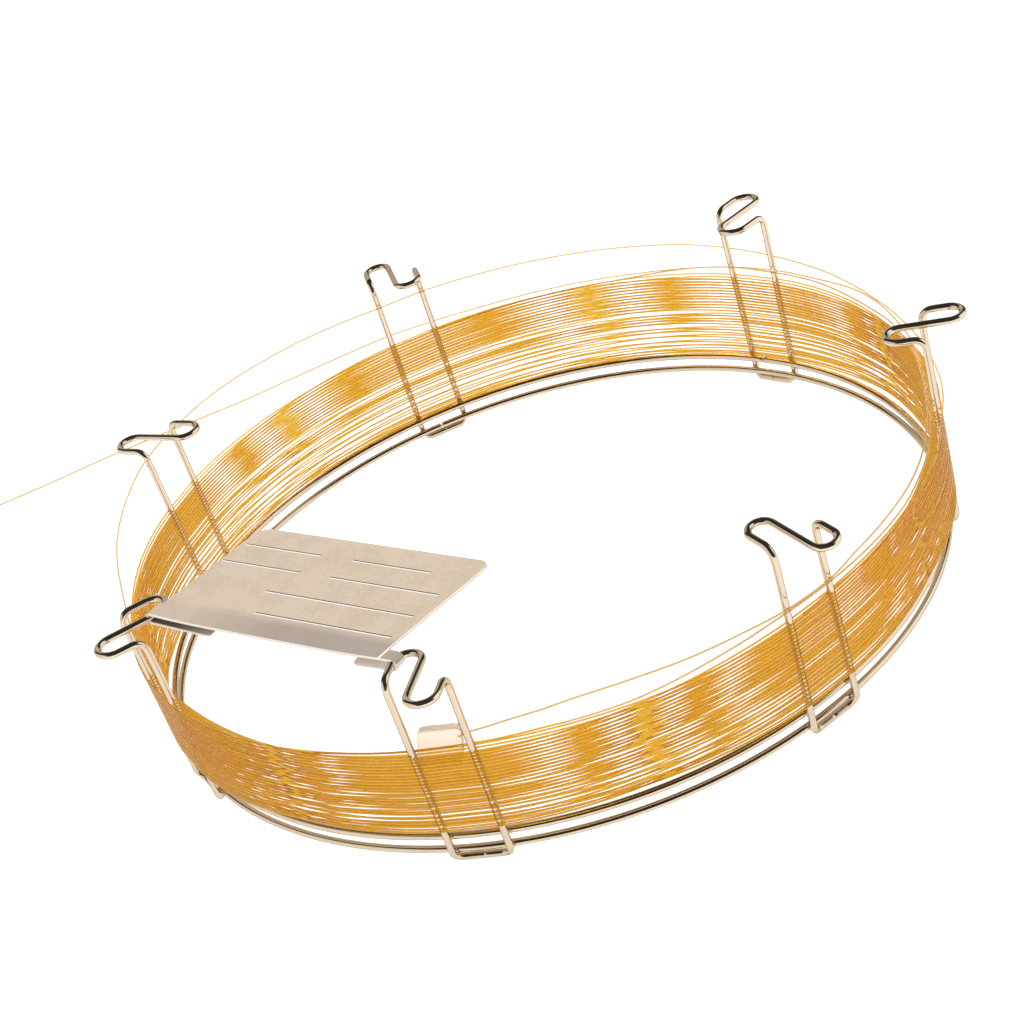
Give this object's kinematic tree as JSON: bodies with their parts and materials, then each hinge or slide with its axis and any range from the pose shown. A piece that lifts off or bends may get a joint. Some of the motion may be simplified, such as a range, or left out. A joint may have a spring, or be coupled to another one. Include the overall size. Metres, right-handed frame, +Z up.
{
  "type": "gc capillary column",
  "caption": "Gas chromatography capillary column: coated fine tubing woven in and out of a round cage of bent steel wire, with hooks and a folded tag.",
  "frame": {"origin": "middle of the cage's outline seen from above, level with the underside of the clips' feet; the axis of the hoops and the winding stands at (-0.00275, -0.00128)", "axes": "+Z up along the cage's axis, from the feet to the hooks; -Y is the side towards the viewer, +X its right"},
  "size_m": [0.2162, 0.1908, 0.0455],
  "materials": {
    "steel": "polished",
    "coating": "gloss",
    "sheet": "satin",
    "rubber": "matte"
  },
  "bodies": {
    "root": {"lower_hoop": "steel", "upper_hoop": "steel", "clip_1": "steel", "clip_2": "steel", "clip_3": "steel", "clip_4": "steel", "clip_5": "steel", "clip_6": "steel", "clip_7": "steel", "inner_layer": "coating", "outer_layer": "coating", "risen_turn": "coating", "free_end": "coating", "sealed_end": "coating", "tag": "sheet", "end_seal": "rubber"}
  },
  "joints": []
}
